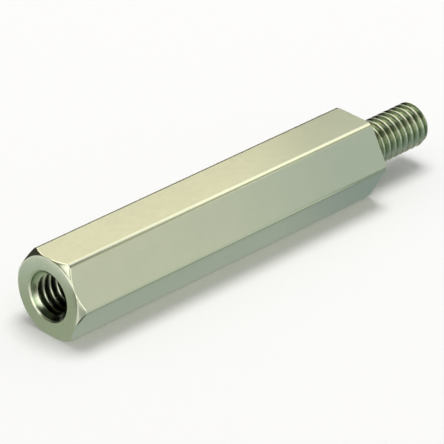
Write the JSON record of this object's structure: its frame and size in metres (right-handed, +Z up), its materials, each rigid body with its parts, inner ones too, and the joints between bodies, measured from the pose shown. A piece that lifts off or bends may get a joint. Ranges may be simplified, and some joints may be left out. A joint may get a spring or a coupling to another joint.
{
  "type": "male-female hexagonal spacer",
  "caption": "Hexagonal metal spacer turned in one piece, with a chamfered tapped socket at one end and a threaded stud at the other, for holding boards and panels apart.",
  "frame": {"origin": "centre of the socket face, on the spacer's axis", "axes": "+X along the axis from the socket towards the stud; +Z up, square to the flat that the spacer lies on"},
  "size_m": [0.0427, 0.008, 0.007],
  "materials": {
    "nickel_plate": "bright nickel plate over drawn and turned brass"
  },
  "bodies": {
    "root": {"spacer": "nickel_plate"}
  },
  "joints": []
}
